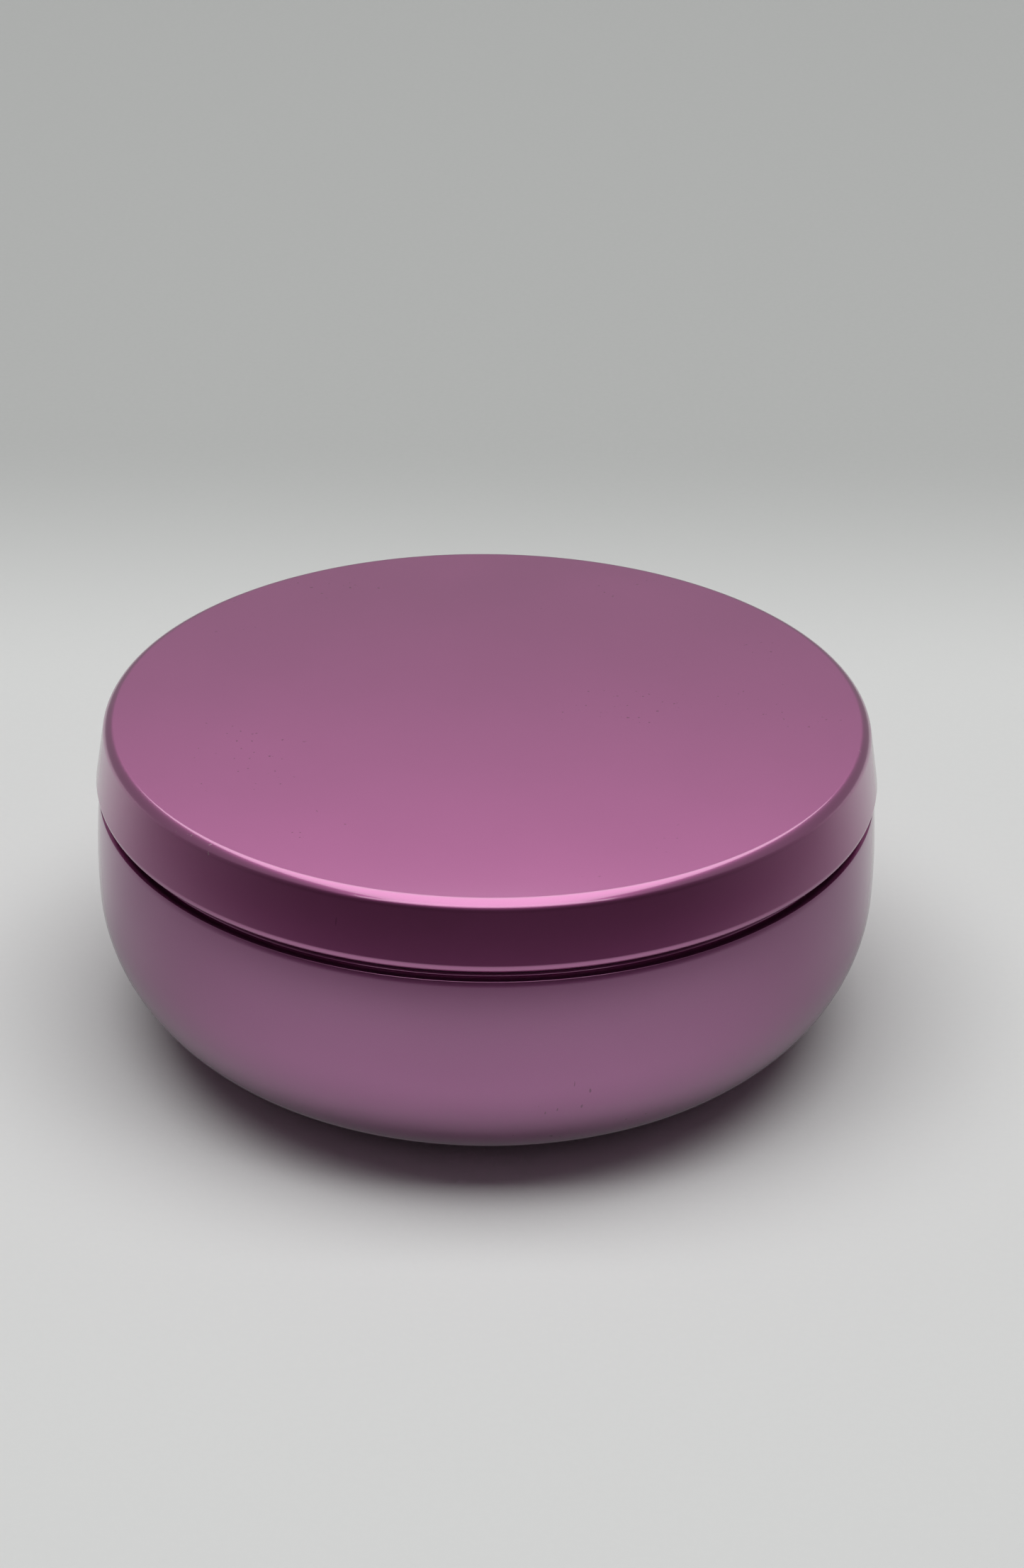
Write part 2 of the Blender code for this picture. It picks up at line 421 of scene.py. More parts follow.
def braid_tree():
    """Strands that run round a core in both ways and pass over and under each other."""
    tree, given = new_tree(
        "Braided wick",
        {
            "Place": "Vector",
            "Foot": "Float",
            "Top": "Float",
            "Free from": "Float",
            "Lean": "Vector",
            "Radius": "Float",
            "Strands": "Int",
            "Strand radius": "Float",
            "Twist": "Float",
            "Cotton": "Material",
        },
    )
    foot = add(tree, "ShaderNodeCombineXYZ", {2: given["Foot"]}).outputs[0]
    top = add(tree, "ShaderNodeCombineXYZ", {2: given["Top"]}).outputs[0]
    line = add(tree, "GeometryNodeCurvePrimitiveLine", {"Start": foot, "End": top}).outputs[0]
    points = add(tree, "GeometryNodeResampleCurve", {"Curve": line, "Count": 170}).outputs[0]
    copies = add(
        tree,
        "GeometryNodeDuplicateElements",
        {"Geometry": points, "Amount": given["Strands"]},
        domain="SPLINE",
    ).outputs
    height = add(
        tree, "ShaderNodeSeparateXYZ", {0: add(tree, "GeometryNodeInputPosition").outputs[0]}
    ).outputs[2]

    pairs = maths(tree, "DIVIDE", given["Strands"], 2)
    odd = maths(tree, "MODULO", copies["Duplicate Index"], 2)
    way = maths(tree, "SUBTRACT", 1, maths(tree, "MULTIPLY", odd, 2))
    pair = maths(tree, "FLOOR", maths(tree, "DIVIDE", copies["Duplicate Index"], 2))
    start = maths(tree, "MULTIPLY", pair, maths(tree, "DIVIDE", math.tau, pairs))
    turns = maths(tree, "DIVIDE", maths(tree, "SUBTRACT", height, given["Foot"]), given["Twist"])
    turn = maths(tree, "ADD", start, maths(tree, "MULTIPLY", way, maths(tree, "MULTIPLY", turns, math.tau)))

    # The strands weave within what the braid's radius leaves beside their own.
    swing = maths(tree, "MULTIPLY", given["Strand radius"], 0.72)
    middle = maths(
        tree, "SUBTRACT", maths(tree, "SUBTRACT", given["Radius"], given["Strand radius"]), swing
    )
    weave = maths(tree, "COSINE", maths(tree, "MULTIPLY", turn, pairs))
    radius = maths(
        tree, "ADD", middle, maths(tree, "MULTIPLY", maths(tree, "MULTIPLY", weave, way), swing)
    )
    free = maths(tree, "MAXIMUM", maths(tree, "SUBTRACT", height, given["Free from"]), 0)
    bend = maths(tree, "MULTIPLY", free, free)
    leaning = add(
        tree, "ShaderNodeVectorMath", {0: given["Lean"], "Scale": bend}, operation="SCALE"
    ).outputs[0]
    axis = add(tree, "ShaderNodeVectorMath", {0: given["Place"], 1: leaning}, operation="ADD").outputs[0]
    woven = add(
        tree, "ShaderNodeVectorMath", {0: polar(tree, radius, turn, height), 1: axis}, operation="ADD"
    ).outputs[0]
    strands = add(
        tree, "GeometryNodeSetPosition", {"Geometry": copies["Geometry"], "Position": woven}
    ).outputs[0]
    shift = add(tree, "GeometryNodeSetPosition", {"Geometry": points, "Offset": axis}).outputs[0]

    def tube(curve, size, sides):
        ring = add(tree, "GeometryNodeCurvePrimitiveCircle", {"Resolution": sides, "Radius": size}).outputs[0]
        return add(
            tree, "GeometryNodeCurveToMesh", {"Curve": curve, "Profile Curve": ring, "Fill Caps": True}
        ).outputs[0]

    join = tree.nodes.new("GeometryNodeJoinGeometry")
    tree.links.new(tube(strands, given["Strand radius"], 7), join.inputs[0])
    tree.links.new(tube(shift, maths(tree, "MULTIPLY", middle, 0.85), 10), join.inputs[0])
    smooth = add(tree, "GeometryNodeSetShadeSmooth", {"Geometry": join.outputs[0]}).outputs[0]
    real = add(tree, "GeometryNodeRealizeInstances", {0: smooth}).outputs[0]
    done = add(tree, "GeometryNodeSetMaterial", {"Geometry": real, "Material": given["Cotton"]}).outputs[0]
    add(tree, "NodeGroupOutput", {0: done})
    return tree


def worked(obj, tree, values):
    """Runs a geometry tree on an object and keeps the result as its plain mesh."""
    modifier = obj.modifiers.new(tree.name, "NODES")
    modifier.node_group = tree
    for item in tree.interface.items_tree:
        if item.in_out == "INPUT" and item.name in values:
            modifier[item.identifier] = values[item.name]
    graph = bpy.context.evaluated_depsgraph_get()
    made = bpy.data.meshes.new_from_object(obj.evaluated_get(graph))
    obj.modifiers.remove(modifier)
    plain, obj.data = obj.data, made
    bpy.data.meshes.remove(plain)
    made.name = obj.name
    return obj


def shared_tree(name, make):
    return bpy.data.node_groups.get(name) or make()


def turned(name, outer, inner, steps, outside, inside):
    """The outline of (radius, height) points turned round Z, with a finish for each of its sides."""
    # Body and wax outlines end on the axis below; a lid's begins on the axis above. Both ways close.
    if outer[0][0] == 0:
        outline = outer + inner[::-1]
        lining = [0.0] * len(outer) + [1.0] * len(inner)
        wear = wear_along(outer) + [0.0] * len(inner)
    else:
        outline = inner[::-1] + outer
        lining = [1.0] * len(inner) + [0.0] * len(outer)
        wear = [0.0] * len(inner) + wear_along(outer)
    mesh = bpy.data.meshes.new(name)
    mesh.from_pydata([(r, 0, z) for r, z in outline], [(i, i + 1) for i in range(len(outline) - 1)], [])
    for label, values in (("lining", lining), ("wear", wear)):
        mesh.attributes.new(label, "FLOAT", "POINT").data.foreach_set("value", values)
    obj = bpy.data.objects.new(name, mesh)
    bpy.context.scene.collection.objects.link(obj)
    tree = shared_tree("Turned sheet", turned_tree)
    return worked(obj, tree, {"Steps": steps, "Outside": outside, "Inside": inside})


# Finishes


def finish(name, roughness, metallic=0.0):
    """A new material, its tree, its shader and the object's own coordinates."""
    made = bpy.data.materials.new(name)
    made.use_nodes = True
    tree = made.node_tree
    shader = tree.nodes["Principled BSDF"]
    shader.inputs["Roughness"].default_value = roughness
    shader.inputs["Metallic"].default_value = metallic
    return made, tree, shader, add(tree, "ShaderNodeTexCoord").outputs["Object"]


def speckle(tree, place, scale, detail=2.0, roughness=0.5):
    return add(
        tree,
        "ShaderNodeTexNoise",
        {"Vector": place, "Scale": scale, "Detail": detail, "Roughness": roughness},
    ).outputs["Fac"]


def ranged(tree, value, low, high, to_low, to_high):
    """value from low..high moved smoothly to to_low..to_high."""
    return add(
        tree,
        "ShaderNodeMapRange",
        {"Value": value, "From Min": low, "From Max": high, "To Min": to_low, "To Max": to_high},
        interpolation_type="SMOOTHSTEP",
    ).outputs["Result"]


def from_axis(tree, place):
    """The place's x, y and z, and its distance from the tin's axis."""
    parts = add(tree, "ShaderNodeSeparateXYZ", {0: place}).outputs
    flat = add(tree, "ShaderNodeCombineXYZ", {0: parts[0], 1: parts[1]}).outputs[0]
    return parts, add(tree, "ShaderNodeVectorMath", {0: flat}, operation="LENGTH").outputs["Value"]


def mixed(tree, share, first, second):
    node = add(tree, "ShaderNodeMix", {"Factor": share}, data_type="RGBA")
    for key, value in ((6, first), (7, second)):
        if isinstance(value, bpy.types.NodeSocket):
            tree.links.new(value, node.inputs[key])
        else:
            node.inputs[key].default_value = (*value, 1)
    return node.outputs[2]


def bumped(tree, shader, height, distance, strength=1.0):
    bump = add(tree, "ShaderNodeBump", {"Height": height, "Distance": distance, "Strength": strength})
    tree.links.new(bump.outputs[0], shader.inputs["Normal"])


def shade(colour, share):
    return tuple(min(1, part * share) for part in colour)


def enamel(name, colour, roughness, tin, gap_shade_height=0.0):
    """Stoved metallic enamel: a pink glaze over bright flake, with rubbed edges and faint handling marks.

    The last argument is the height of a band of painted shade, a near-black line round the neck where the hem
    shades the gap, and 0 where there is none.
    """
    made, tree, shader, place = finish(name, roughness, 0.96)
    cloud = ranged(tree, speckle(tree, place, 45, 3), 0.3, 0.7, 0, 1)
    glaze = mixed(tree, cloud, shade(colour, 0.985), shade(colour, 1.015))
    flake = add(tree, "ShaderNodeTexVoronoi", {"Vector": place, "Scale": 7000}).outputs["Distance"]
    flake = ranged(tree, flake, 0.1, 0.6, 0.0, 0.12)
    glaze = mixed(tree, flake, glaze, shade(colour, 0.7))

    # Handling leaves a few specks on flat faces and short upright scratches on walls.
    drawn_out = add(tree, "ShaderNodeMapping", {"Vector": place, "Scale": (1, 1, 0.06)}).outputs[0]
    marks = ranged(tree, speckle(tree, drawn_out, 1300, 1), 0.72, 0.75, 0, 0.65)
    marks = maths(tree, "MULTIPLY", marks, ranged(tree, speckle(tree, place, 52, 1), 0.60, 0.66, 0, 1))
    glaze = mixed(tree, marks, glaze, shade(colour, 0.3))
    # Painted shade: a near-black band round the neck, where the hem shades the gap.
    if gap_shade_height:
        height = add(tree, "ShaderNodeSeparateXYZ", {0: place}).outputs[2]
        low = ranged(tree, height, gap_shade_height - 0.0007, gap_shade_height - 0.0004, 0, 0.9)
        line = maths(tree, "MULTIPLY", low, ranged(tree, height, gap_shade_height + 0.0004, gap_shade_height + 0.0009, 1, 0))
        glaze = mixed(tree, line, glaze, (0.02, 0.008, 0.014))

    # Bare tin shows only where a tight edge meets a rough patch.
    edge = add(tree, "ShaderNodeAttribute", attribute_name="wear").outputs["Fac"]
    patch = ranged(tree, speckle(tree, place, 900, 4, 0.65), 0.66, 0.70, 0, 1)
    patch = maths(tree, "MULTIPLY", patch, ranged(tree, speckle(tree, place, 70), 0.58, 0.68, 0, 1))
    bare = maths(tree, "MULTIPLY", patch, ranged(tree, edge, 0.5, 0.9, 0, 0.8))
    tree.links.new(mixed(tree, bare, glaze, tin), shader.inputs["Base Color"])

    haze = ranged(tree, speckle(tree, place, 30, 4, 0.6), 0.45, 0.75, 0, 0.02)
    dull = maths(tree, "ADD", haze, maths(tree, "MULTIPLY", bare, 0.15))
    tree.links.new(maths(tree, "ADD", dull, roughness), shader.inputs["Roughness"])
    shader.inputs["Coat Weight"].default_value = 1.0
    shader.inputs["Coat Roughness"].default_value = 0.07
    shader.inputs["Coat IOR"].default_value = 1.9
    ripple = maths(tree, "ADD", speckle(tree, place, 380, 2), maths(tree, "MULTIPLY", bare, -0.8))
    bumped(tree, shader, ripple, 0.000006)
    return made


def bare_tin(name, colour):
    """Clear-lacquered tinplate with the faint rings that drawing leaves."""
    made, tree, shader, place = finish(name, 0.26, 1.0)
    parts, radius = from_axis(tree, place)
    ring = add(tree, "ShaderNodeCombineXYZ", {0: radius, 2: parts[2]}).outputs[0]
    rings = speckle(tree, ring, 1800, 4, 0.6)
    cloud = ranged(tree, speckle(tree, place, 60, 4), 0.35, 0.7, 0, 1)
    tone = mixed(tree, cloud, shade(colour, 0.93), shade(colour, 1.03))
    tone = mixed(tree, ranged(tree, rings, 0.3, 0.7, 0, 0.2), tone, shade(colour, 0.8))
    tree.links.new(tone, shader.inputs["Base Color"])
    tree.links.new(ranged(tree, rings, 0.3, 0.7, 0.22, 0.34), shader.inputs["Roughness"])
    bumped(tree, shader, rings, 0.000006)
    return made


def soft_wax(name, colour):
    """Poured wax: translucent, with faint frosting and a dusting of pinholes."""
    made, tree, shader, place = finish(name, 0.42)
    frost = ranged(tree, speckle(tree, place, 140, 6, 0.7), 0.45, 0.68, 0, 1)
    tone = mixed(tree, frost, colour, shade(colour, 1.05))
    cell = add(tree, "ShaderNodeTexVoronoi", {"Vector": place, "Scale": 330}).outputs["Distance"]
    pin = ranged(tree, cell, 0.05, 0.11, 1, 0)
    tone = mixed(tree, maths(tree, "MULTIPLY", pin, 0.35), tone, shade(colour, 0.7))
    tree.links.new(tone, shader.inputs["Base Color"])
    tree.links.new(ranged(tree, frost, 0, 1, 0.36, 0.52), shader.inputs["Roughness"])
    shader.inputs["Subsurface Weight"].default_value = 0.5
    shader.inputs["Subsurface Radius"].default_value = (1.0, 0.75, 0.5)
    shader.inputs["Subsurface Scale"].default_value = 0.003
    grain = maths(tree, "SUBTRACT", speckle(tree, place, 900, 4), pin)
    bumped(tree, shader, grain, 0.00004)
    return made


def waxed_cotton(name, colour):
    """Cotton fibres, darker and glossier where the wax has soaked in."""
    made, tree, shader, place = finish(name, 0.6)
    fibre = speckle(tree, place, 5200, 3, 0.6)
    soaked = ranged(tree, speckle(tree, place, 420, 2), 0.4, 0.65, 0, 1)
    tone = mixed(tree, ranged(tree, fibre, 0.3, 0.7, 0, 1), shade(colour, 0.8), shade(colour, 1.06))
    tone = mixed(tree, maths(tree, "MULTIPLY", soaked, 0.5), tone, shade(colour, 0.9))
    tree.links.new(tone, shader.inputs["Base Color"])
    tree.links.new(ranged(tree, soaked, 0, 1, 0.72, 0.45), shader.inputs["Roughness"])
    shader.inputs["Sheen Weight"].default_value = 0.25
    bumped(tree, shader, fibre, 0.00006)
    return made


def stamped_steel(name):
    """Plain steel with the grain of the rolled strip."""
    made, tree, shader, place = finish(name, 0.3, 1.0)
    stretched = add(tree, "ShaderNodeMapping", {"Vector": place, "Scale": (1, 14, 1)}).outputs[0]
    grain = speckle(tree, stretched, 700, 5, 0.6)
    tone = mixed(tree, ranged(tree, grain, 0.3, 0.7, 0, 1), (0.52, 0.52, 0.51), (0.72, 0.72, 0.70))
    tree.links.new(tone, shader.inputs["Base Color"])
    tree.links.new(ranged(tree, grain, 0.3, 0.7, 0.24, 0.38), shader.inputs["Roughness"])
    bumped(tree, shader, grain, 0.00001)
    return made


def sticker_foam(name):
    """White foam with small open cells."""
    made, tree, shader, place = finish(name, 0.75)
    cells = add(tree, "ShaderNodeTexVoronoi", {"Vector": place, "Scale": 3200}).outputs["Distance"]
    tone = mixed(tree, ranged(tree, cells, 0.1, 0.6, 0, 1), (0.68, 0.68, 0.66), (0.86, 0.86, 0.84))
    tree.links.new(tone, shader.inputs["Base Color"])
    bumped(tree, shader, cells, 0.0001)
    return made


def pale_paper(name):
    """Seamless paper with painted shade behind the tin, where a backdrop's curve would get less light, and
    glowing far out, where the key light fades.
    """
    made, tree, shader, place = finish(name, 0.85)
    parts, reach = from_axis(tree, place)
    # Painted shade: the paper darkens behind the tin, as the curve of a backdrop in shade would.
    tone = mixed(tree, ranged(tree, parts[1], 0.10, 0.22, 0, 1), (0.80, 0.81, 0.80), (0.53, 0.54, 0.53))
    grain = speckle(tree, place, 900, 4)
    tone = mixed(tree, ranged(tree, grain, 0.3, 0.7, 0, 0.05), tone, (0.7, 0.7, 0.7))
    tree.links.new(tone, shader.inputs["Base Color"])
    bumped(tree, shader, grain, 0.00003)
    shader.inputs["Emission Color"].default_value = (1, 1, 1, 1)
    tree.links.new(ranged(tree, reach, 0.8, 6, 0, 0.44), shader.inputs["Emission Strength"])
    return made


def far_haze(name):
    """The tone that the floor fades to."""
    made, _, shader, _ = finish(name, 1.0)
    shader.inputs["Base Color"].default_value = (0, 0, 0, 1)
    shader.inputs["Specular IOR Level"].default_value = 0.0
    shader.inputs["Emission Color"].default_value = (1, 1, 1, 1)
    shader.inputs["Emission Strength"].default_value = 0.50
    return made


def dim_card(name):
    """A painted reflection, seen in the gloss alone: floor tone near the tin and behind it, near black far
    out in front, and dim grey at the sides.
    """
    made, tree, shader, place = finish(name, 1.0)
    parts, reach = from_axis(tree, place)
    behind = maths(tree, "DIVIDE", parts[1], reach)  # -1 straight in front, 1 straight behind
    tone = mixed(tree, ranged(tree, behind, -0.9, 0.7, 0, 1), (0.030, 0.018, 0.022), (0.35, 0.33, 0.34))
    close = mixed(tree, ranged(tree, behind, -0.95, -0.2, 0, 1), (0.60, 0.60, 0.61), (0.40, 0.39, 0.40))
    tone = mixed(tree, ranged(tree, reach, 0.105, 0.19, 1, 0), tone, close)
    tone = mixed(tree, ranged(tree, behind, 0.0, 0.6, 0, 1), tone, (0.62, 0.63, 0.62))
    tree.links.new(tone, shader.inputs["Base Color"])
    # Painted reflection: the card glows faintly, so that the enamel shows a lit floor even where the tin
    # shades it.
    tree.links.new(tone, shader.inputs["Emission Color"])
    shader.inputs["Emission Strength"].default_value = 0.1
    shader.inputs["Specular IOR Level"].default_value = 0.0
    return made


def material(name, make, *values):
    return bpy.data.materials.get(name) or make(name, *values)


# Pieces


def centre_of(node):
    low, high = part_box(node)
    return (low + high) / 2


def bore_radius(wick, air):
    """Radius of the hole that a wick stands in."""
    low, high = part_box(wick)
    return (high.x - low.x) / 2 + air


def wax_heights(mesh, top, reach, candle):
    """Lifts the wax where it wets the wall and the wicks, and gives its top the waves of a poured one."""
    wicks = [centre_of(name).xy for name in WICKS]
    bore = bore_radius(WICKS[0], candle.air)
    for vertex in mesh.vertices:
        place = vertex.co
        if place.z < top - 1e-6:
            continue
        wall = reach - place.xy.length
        lift = candle.wall_climb * math.exp(-wall / SURFACE_REACH)
        for wick in wicks:
            away = max(0, (place.xy - wick).length - bore)
            lift += candle.wick_climb * math.exp(-away / SURFACE_REACH)
        settled = min(1, wall / 0.004)
        wave = 0.00009 * noise.noise(place * 90) + 0.00003 * noise.noise(place * 420)
        vertex.co.z += lift + settled * wave


def upright(wick):
    """The move from the tin's axis to a wick's."""
    return Matrix.Translation(centre_of(wick) * Vector((1, 1, 0)))


def bored(obj, cutter):
    """Takes the cutter out of obj and keeps the result as its plain mesh."""
    cut = obj.modifiers.new("Bore", "BOOLEAN")
    cut.object = cutter
    graph = bpy.context.evaluated_depsgraph_get()
    made = bpy.data.meshes.new_from_object(obj.evaluated_get(graph))
    obj.modifiers.remove(cut)
    plain, obj.data = obj.data, made
    bpy.data.meshes.remove(plain)
    bpy.data.objects.remove(cutter)


class CANDLETIN_OT_body(bpy.types.Operator):
    """Press the body, with its rolled rim, neck, ledge and raised bottom"""

    bl_idname = "candle_tin.body"
    bl_label = "Body"

    def execute(self, context):
        shape, look = context.scene.tin_shape, context.scene.tin_finish
        # Height of the band of painted shade round the neck, where the hem shades the gap.
        gap_shade_height = shape.ledge_height + 0.0009
        outside = material(
            "body_enamel", enamel, look.body_colour, look.enamel_roughness, look.tin_colour, gap_shade_height
        )
        inside = material("bare_tin", bare_tin, look.tin_colour)
        outer, inner = body_side(shape, 0), body_side(shape, shape.sheet)
        body = turned("pressed_body", outer, inner, shape.steps, outside, inside)
        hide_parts("tin_body")
        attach(body, "tin")
        return {"FINISHED"}


class CANDLETIN_OT_lid(bpy.types.Operator):
    """Press the lid and roll its hem"""

    bl_idname = "candle_tin.lid"
    bl_label = "Lid"

    def execute(self, context):
        shape, look = context.scene.tin_shape, context.scene.tin_finish
        outside = material("lid_enamel", enamel, look.lid_colour, look.enamel_roughness, look.tin_colour)
        inside = material("bare_tin", bare_tin, look.tin_colour)
        outer, inner = lid_side(shape, 0), lid_side(shape, shape.sheet)
        lid = turned("slip_lid", outer, inner, shape.steps, outside, inside)
        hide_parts("lid")
        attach(lid, "lid")
        return {"FINISHED"}


class CANDLETIN_OT_wax(bpy.types.Operator):
    """Pour the wax round the wicks"""

    bl_idname = "candle_tin.wax"
    bl_label = "Wax"

    def execute(self, context):
        shape, candle, look = context.scene.tin_shape, context.scene.tin_candle, context.scene.tin_finish
        poured = material("cream_wax", soft_wax, look.wax_colour)
        low, top = (corner.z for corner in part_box("wax_fill"))
        side = wall_side(shape, shape.sheet + candle.air, top, low)
        reach, rings = side[0][0], 90
        across = [(reach * i / rings, top) for i in range(rings)]
        wax = turned("poured_wax", across + side + [(0, low)], [], shape.steps, poured, poured)
        wax_heights(wax.data, top, reach, candle)
        for number, name in enumerate(WICKS, 1):
            foot_low, foot_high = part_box(f"wick_sustainer_{number}")
            bore = bore_radius(name, candle.air)
            neck = candle.foot_neck + candle.air
            disc = (foot_high.x - foot_low.x) / 2 + candle.air
            neck_top = foot_high.z + candle.air
            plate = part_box(f"wick_sticker_{number}")[1].z + candle.air + candle.foot_sheet + candle.air
            over = 0.003  # past the wax at both ends, so that the cut is clean
            space = [(0, top + over), (bore, top + over), (bore, neck_top), (neck, neck_top), (neck, plate)]
            space += [(disc, plate), (disc, low - over), (0, low - over)]
            cutter = turned("bore", space, [], 48, poured, poured)
            cutter.data.transform(upright(name))
            bored(wax, cutter)
        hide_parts("wax_fill")
        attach(wax, "tin")
        return {"FINISHED"}


class CANDLETIN_OT_wicks(bpy.types.Operator):
    """Braid the wicks"""

    bl_idname = "candle_tin.wicks"
    bl_label = "Wicks"

    def execute(self, context):
        candle, look = context.scene.tin_candle, context.scene.tin_finish
        cotton = material("waxed_cotton", waxed_cotton, look.cotton_colour)
        for name in WICKS:
            low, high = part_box(name)
            place = centre_of(name)
            mesh = bpy.data.meshes.new(name)
            wick = bpy.data.objects.new("braided_" + name, mesh)
            context.scene.collection.objects.link(wick)
            sizes = {
                "Place": (place.x, place.y, 0),
                "Foot": low.z,
                "Top": high.z,
                "Free from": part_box("wax_fill")[1].z,
                "Lean": LEANS.get(name, (0, 0, 0)),
                "Radius": (high.x - low.x) / 2,
                "Strands": candle.strands,
                "Strand radius": candle.strand_radius,
                "Twist": candle.twist,
                "Cotton": cotton,
            }
            worked(wick, shared_tree("Braided wick", braid_tree), sizes)
            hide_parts(name)
            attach(wick, "tin")
        return {"FINISHED"}


class CANDLETIN_OT_tabs(bpy.types.Operator):
    """Stamp the wicks' metal feet, crimp their necks, and cut the foam stickers under them"""

    bl_idname = "candle_tin.tabs"
    bl_label = "Wick feet and stickers"

    def execute(self, context):
        candle = context.scene.tin_candle
        steel = material("stamped_steel", stamped_steel)
        foam = material("foam", sticker_foam)
        for number, name in enumerate(WICKS, 1):
            low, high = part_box(f"wick_sustainer_{number}")
            side = self.foot_side(low, high, bore_radius(name, candle.air), candle)
            foot = turned(f"crimped_foot_{number}", side, [], 64, steel, steel)
            self.crimp(foot.data, low.z + candle.foot_sheet, high.z, candle.crimp)
            foot.data.transform(upright(name))
            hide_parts(f"wick_sustainer_{number}")
            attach(foot, "tin")
            low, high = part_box(f"wick_sticker_{number}")
            radius, half = (high.x - low.x) / 2, (high.z - low.z) / 2
            rim = arc((radius - half, low.z + half), half, math.radians(90), math.radians(-90), 10)
            disc = turned(f"foam_sticker_{number}", [(0, high.z)] + rim + [(0, low.z)], [], 64, foam, foam)
            disc.data.transform(upright(name))
            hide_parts(f"wick_sticker_{number}")
            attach(disc, "tin")
        return {"FINISHED"}

    def foot_side(self, low, high, bore, candle):
        """The outer side of a stamped foot, from the top of its neck round the disc's edge to the bore."""
        radius, neck, half = (high.x - low.x) / 2, candle.foot_neck, candle.foot_sheet / 2
        plate = low.z + candle.foot_sheet
        lip = 0.0001
        side = [(bore, high.z), (neck - lip, high.z), (neck, high.z - lip)]
        side += eased((neck, high.z), (neck, plate), (radius, plate), candle.foot_sheet)
        side += arc((radius - half, low.z + half), half, math.radians(90), math.radians(-90), 8)
        return side + [(bore, low.z)]

    def crimp(self, mesh, plate, top, depth):
        """Four dents that grip the wick."""
        for vertex in mesh.vertices:
            share = (vertex.co.z - plate) / (top - plate)
            if share <= 0.05:
                continue
            turn = math.atan2(vertex.co.y, vertex.co.x)
            dent = max(0, math.cos(4 * turn)) ** 2 * math.sin(math.pi * min(1, share)) ** 2
            reach = vertex.co.xy.length
            vertex.co.xy *= (reach - depth * dent) / reach


# Studio


def soft_light(name, place, aim, size, power):
    """A rectangular white light at place that shines towards aim."""
    data = bpy.data.lights.new(name, "AREA")
    data.shape, data.size, data.size_y = "RECTANGLE", *size
    data.energy = power
    light = bpy.data.objects.new(name, data)
    light.location = place
    light.rotation_mode = "QUATERNION"
    light.rotation_quaternion = (Vector(aim) - Vector(place)).to_track_quat("-Z", "Y")
    light.visible_camera = False
    bpy.context.scene.collection.objects.link(light)
    return light


def sheet_of(name, corners, finish_material):
    """A flat four-cornered piece of the studio."""
    mesh = bpy.data.meshes.new(name)
    shape = bmesh.new()
    shape.faces.new([shape.verts.new(corner) for corner in corners])
    shape.to_mesh(mesh)
    shape.free()
    mesh.materials.append(finish_material)
    made = bpy.data.objects.new(name, mesh)
    bpy.context.scene.collection.objects.link(made)
    return made


def skirt(name, rings, finish_material):
    """A round stage piece through rings of (radius, height in front, height behind)."""
    turns = 96
    mesh = bpy.data.meshes.new(name)
    shape = bmesh.new()
    rows = []
    for step in range(turns):
        turn = math.tau * step / turns
        # 1 in front, easing to 0 some 27 degrees behind the sides.
        share = min(1, max(0, (0.45 - math.sin(turn)) / 1.2))
        share = share * share * (3 - 2 * share)
        rows.append([
            shape.verts.new((r * math.cos(turn), r * math.sin(turn), back + (front - back) * share))
            for r, front, back in rings
        ])
    for first, second in zip(rows, rows[1:] + rows[:1]):
        for i in range(len(rings) - 1):
            shape.faces.new((first[i], first[i + 1], second[i + 1], second[i]))
    shape.to_mesh(mesh)
    shape.free()
    mesh.materials.append(finish_material)
    made = bpy.data.objects.new(name, mesh)
    bpy.context.scene.collection.objects.link(made)
    made.visible_diffuse = made.visible_shadow = False
    made.visible_transmission = made.visible_volume_scatter = False
    return made


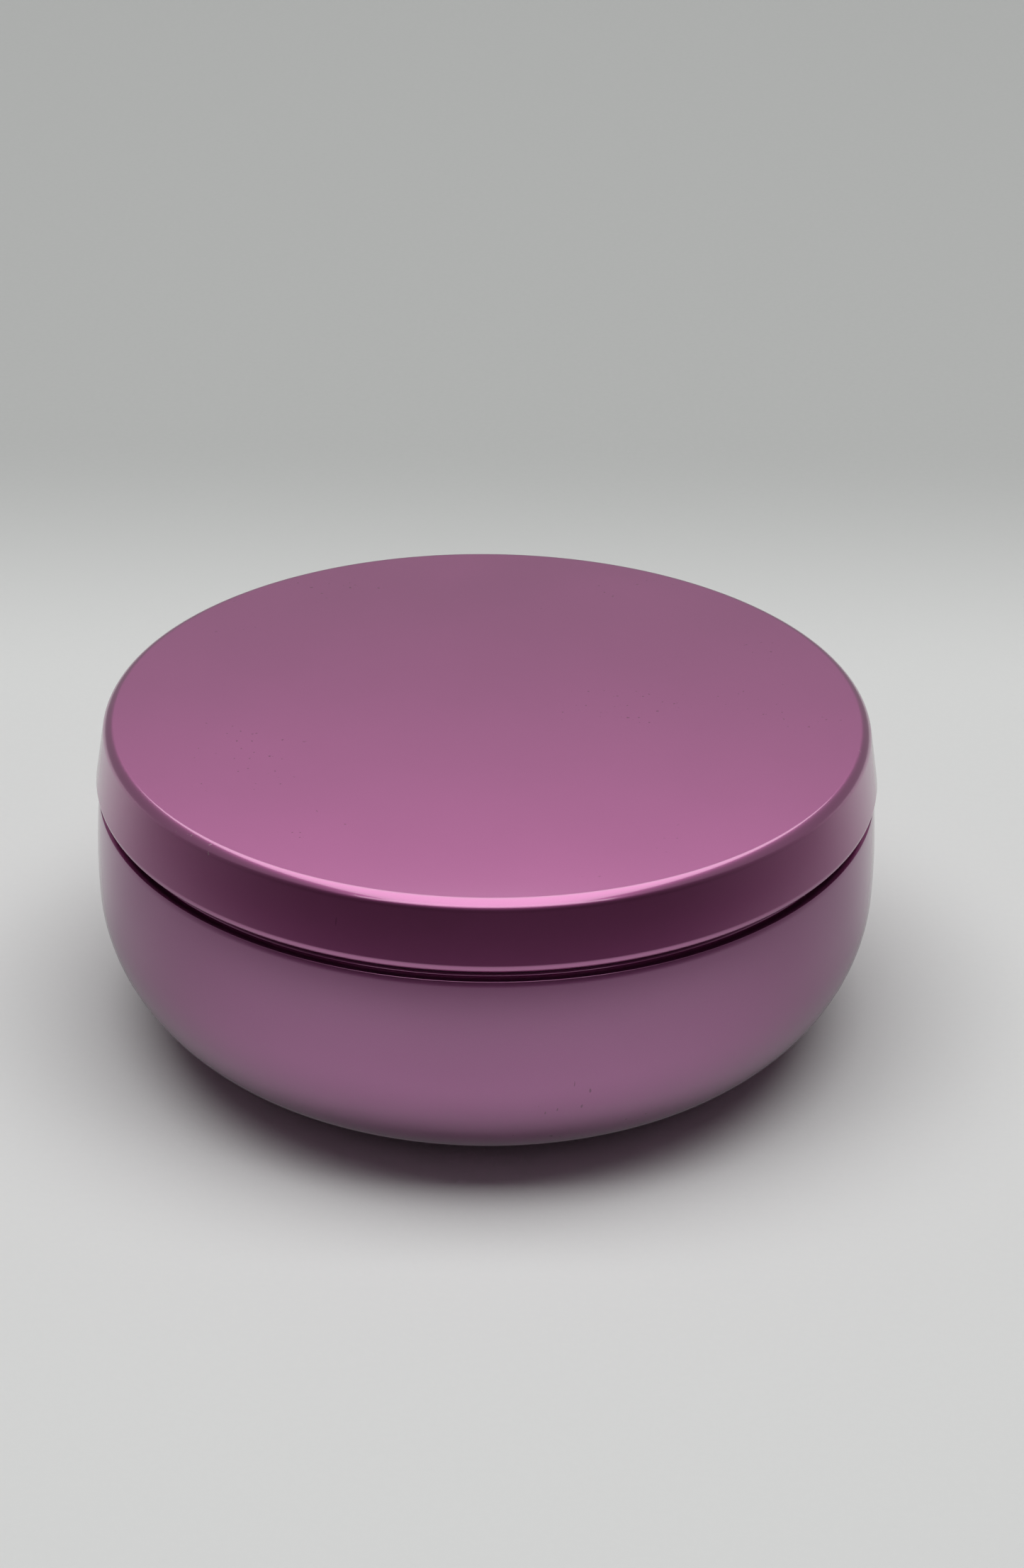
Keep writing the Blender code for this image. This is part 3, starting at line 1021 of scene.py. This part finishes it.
class CANDLETIN_OT_studio(bpy.types.Operator):
    """Set the camera, the pale floor and the soft lights"""

    bl_idname = "candle_tin.studio"
    bl_label = "Studio"

    def execute(self, context):
        scene, studio = context.scene, context.scene.tin_studio
        aim = Vector((0, 0, studio.aim_height))
        back = Vector((0, -math.cos(studio.elevation), math.sin(studio.elevation)))
        camera = bpy.data.objects.new("camera", bpy.data.cameras.new("camera"))
        scene.collection.objects.link(camera)
        camera.data.lens = studio.lens
        camera.data.clip_start = 0.01
        camera.location = aim + back * studio.distance
        camera.rotation_mode = "QUATERNION"
        camera.rotation_quaternion = (
            (-back).to_track_quat("-Z", "Y")
            @ Quaternion((0, 1, 0), -studio.aim_right)
            @ Quaternion((1, 0, 0), -studio.aim_down)
            @ Quaternion((0, 0, 1), studio.roll)
        )
        scene.camera = camera

        half = 12
        corners = [(-half, -half, 0), (half, -half, 0), (half, half, 0), (-half, half, 0)]
        sheet_of("floor", corners, material("pale_paper", pale_paper))
        # Seen in the gloss alone, it rises in front and lies flat behind, so that it shows no edge.
        low = 0.001
        rises = [(0.045, 0), (0.15, 0), (0.19, 0.002), (0.25, 0.02), (0.45, 0.10), (0.8, 0.30), (1.1, 0.78)]
        rings = [(r, low + rise, low) for r, rise in rises]
        skirt("dim_surround", rings, material("dim_card", dim_card)).visible_camera = False
        far = half * 0.75
        rings = [(far, 0, 0), (far, far, far)]
        skirt("far_wall", rings, material("far_haze", far_haze)).visible_glossy = False
        # The key light shapes the shadow, and the two cards are seen in the gloss alone.
        key = soft_light("key_softbox", (0, -0.10, 4.0), (0, -0.10, 0), (5.2, 2.75), studio.key_power)
        key.visible_glossy = False
        over = soft_light("gloss_card", (0, 0.14, 0.55), (0, 0.14, 0), (0.52, 1.17), studio.gloss_power)
        front = soft_light("front_card", (0, -0.38, 0.40), (0, 0, 0.045), (0.60, 0.12), studio.front_power)
        over.visible_diffuse = front.visible_diffuse = False
        scene.world = bpy.data.worlds.new("room")
        scene.world.use_nodes = True
        tree = scene.world.node_tree
        sky = tree.nodes["Background"]
        sky.inputs["Color"].default_value = (1, 1, 1, 1)
        # The room fills shadows less than it shows in the enamel.
        filled = add(tree, "ShaderNodeLightPath").outputs["Is Diffuse Ray"]
        tree.links.new(ranged(tree, filled, 0, 1, studio.sky, studio.fill), sky.inputs["Strength"])
        scene.view_settings.view_transform = "Standard"
        return {"FINISHED"}


# Panel and registration


PIECES = (
    CANDLETIN_OT_studio,
    CANDLETIN_OT_body,
    CANDLETIN_OT_lid,
    CANDLETIN_OT_wax,
    CANDLETIN_OT_wicks,
    CANDLETIN_OT_tabs,
)
GROUPS = {"tin_shape": TinShape, "tin_candle": CandleShape, "tin_finish": Finish, "tin_studio": Studio}


class CANDLETIN_PT_panel(bpy.types.Panel):
    """Makes the tin piece by piece"""

    bl_idname = "CANDLETIN_PT_panel"
    bl_label = "Candle tin"
    bl_space_type = "VIEW_3D"
    bl_region_type = "UI"
    bl_category = "Candle tin"

    def draw(self, context):
        for piece in PIECES:
            self.layout.operator(piece.bl_idname)
        for name, group in GROUPS.items():
            box = self.layout.box()
            for label in group.__annotations__:
                box.prop(getattr(context.scene, name), label)


def register():
    for group in GROUPS.values():
        bpy.utils.register_class(group)
    for piece in (*PIECES, CANDLETIN_PT_panel):
        bpy.utils.register_class(piece)
    for name, group in GROUPS.items():
        setattr(bpy.types.Scene, name, bpy.props.PointerProperty(type=group))


def unregister():
    for name in GROUPS:
        delattr(bpy.types.Scene, name)
    for made in (CANDLETIN_PT_panel, *PIECES, *GROUPS.values()):
        bpy.utils.unregister_class(made)


def main():
    register()
    bpy.ops.candle_tin.studio()
    bpy.ops.candle_tin.body()
    bpy.ops.candle_tin.lid()
    bpy.ops.candle_tin.wax()
    bpy.ops.candle_tin.wicks()
    bpy.ops.candle_tin.tabs()


if __name__ == "__main__":
    main()
